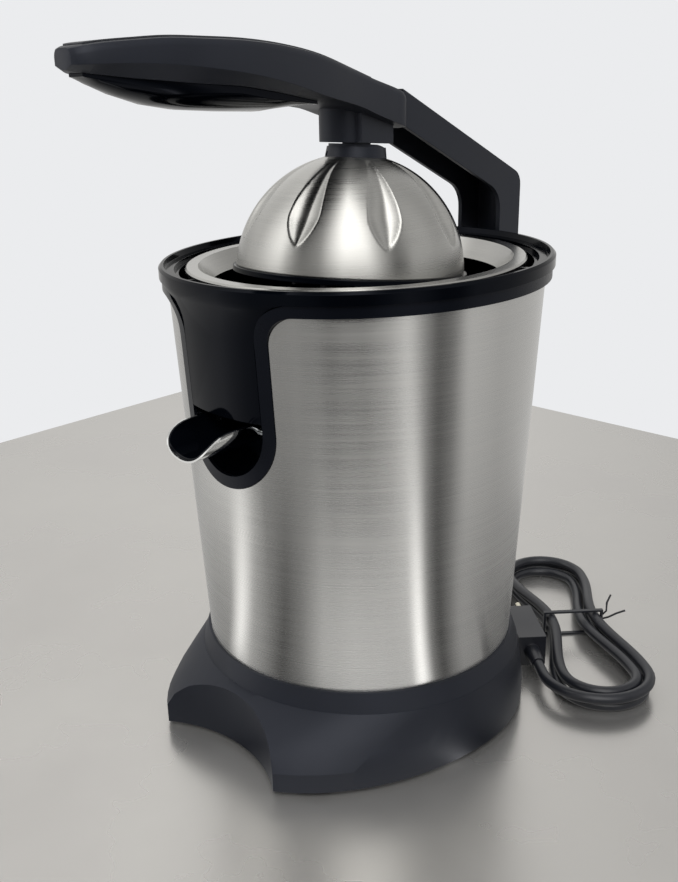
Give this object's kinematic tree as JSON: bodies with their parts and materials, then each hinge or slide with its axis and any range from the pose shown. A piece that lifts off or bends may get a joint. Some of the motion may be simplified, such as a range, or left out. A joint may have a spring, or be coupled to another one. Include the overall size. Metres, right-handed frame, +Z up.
{
  "type": "electric citrus press",
  "caption": "Counter-top electric citrus press: steel body on a black flared base, press dome on a long hinged handle, strainer, tilting spout and a tied mains cord.",
  "frame": {"origin": "on the table, under the axis of the body, the bowl and the drive shaft", "axes": "+Z up along the body's axis, -Y towards the spout and the handle's end, +X to the right of someone who faces the back of the body"},
  "size_m": [0.2254, 0.3501, 0.3451],
  "materials": {
    "satin_black": "satin charcoal with a cool tinge",
    "gloss_black": "high gloss black",
    "dark_plastic": "plain moulded",
    "nylon": "natural nylon",
    "rubber": "matt",
    "cord_black": "soft sheen",
    "brushed": "horizontal brushed grain",
    "strainer_steel": "fine satin",
    "dome_steel": "brushed round the axis",
    "polished": "polished",
    "zinc": "bright zinc plated",
    "motor_steel": "plated sheet",
    "copper": "enamelled winding",
    "brass": "plain"
  },
  "bodies": {
    "base": {"base_shell": "satin_black", "base_plate": "dark_plastic", "feet": "rubber", "base_screws": "zinc", "body_shell": "brushed", "top_frame": "satin_black", "spout_well": "gloss_black", "chassis": "dark_plastic", "motor_can": "motor_steel", "stator": "copper", "motor_screws": "zinc", "gearbox_housing": "nylon", "gearbox_screws": "zinc", "upper_bush": "brass", "lower_bush": "brass", "idler_axle": "zinc", "shaft_seal": "rubber", "micro_switch": "dark_plastic", "lever_pin": "zinc", "juice_bowl": "gloss_black", "bowl_seal": "rubber", "strainer": "strainer_steel", "spout_pin": "zinc", "cord_gland": "rubber", "cord_lead": "cord_black", "cord_hank": "cord_black", "cord_tail": "cord_black", "cord_tie": "cord_black", "plug_body": "cord_black", "plug_pins": "brass"},
    "rotor": {"rotor_shaft": "zinc", "rotor_core": "motor_steel", "motor_pinion": "brass", "cooling_fan": "nylon"},
    "idler": {"idler_gear": "nylon", "idler_pinion": "zinc"},
    "drive": {"drive_shaft": "zinc", "output_gear": "nylon"},
    "cone": {"reamer": "dark_plastic", "push_rod": "zinc", "return_spring": "zinc"},
    "lever": {"switch_lever": "zinc"},
    "spout": {"spout": "polished", "spout_liner": "gloss_black"},
    "arm": {"arm_beam": "satin_black", "arm_boss": "satin_black", "hinge_pin": "zinc", "dome_pin": "zinc", "handle_shell": "satin_black", "grip": "gloss_black", "handle_inlay": "dark_plastic", "handle_screws": "zinc"},
    "dome": {"press_dome": "dome_steel", "dome_ring": "gloss_black", "dome_neck": "satin_black", "dome_screw": "zinc"}
  },
  "joints": [
    {"name": "arm_lift", "type": "hinge", "parent": "base", "child": "arm", "pos_m": [0, 0.1073, 0.231], "axis": [-1, 0, 0], "range_deg": [0, 80]},
    {"name": "dome_tilt", "type": "hinge", "parent": "arm", "child": "dome", "pos_m": [0, 0.004, 0.304], "axis": [-1, 0, 0], "range_deg": [-8.6, 0.8]},
    {"name": "motor_spin", "type": "hinge", "parent": "base", "child": "rotor", "pos_m": [-0.041, 0, 0.1158], "axis": [0, 0, 1], "continuous": true},
    {"name": "idler_spin", "type": "hinge", "parent": "base", "child": "idler", "pos_m": [-0.02564, 0.01997, 0.1608], "axis": [0, 0, 1], "continuous": true},
    {"name": "drive_spin", "type": "hinge", "parent": "base", "child": "drive", "pos_m": [0, 0, 0.1688], "axis": [0, 0, 1], "continuous": true},
    {"name": "reamer_press", "type": "slide", "parent": "drive", "child": "cone", "axis": [0, 0, -1], "range_m": [0, 0.0025], "stiffness_N_per_m": 800, "springref_m": -0.004, "deforming": ["return_spring"]},
    {"name": "lever_tip", "type": "hinge", "parent": "base", "child": "lever", "pos_m": [0, 0.014, 0.1457], "axis": [1, 0, 0], "range_deg": [0, 12.2]},
    {"name": "spout_tilt", "type": "hinge", "parent": "base", "child": "spout", "pos_m": [0, -0.08, 0.1765], "axis": [-1, 0, 0], "range_deg": [0, 10]}
  ],
  "couplings": [
    {"joint": "idler_spin", "follows": "motor_spin", "ratio": -0.2},
    {"joint": "drive_spin", "follows": "motor_spin", "ratio": 0.05},
    {"joint": "lever_tip", "follows": "reamer_press", "rad_per_m": 83.333}
  ]
}
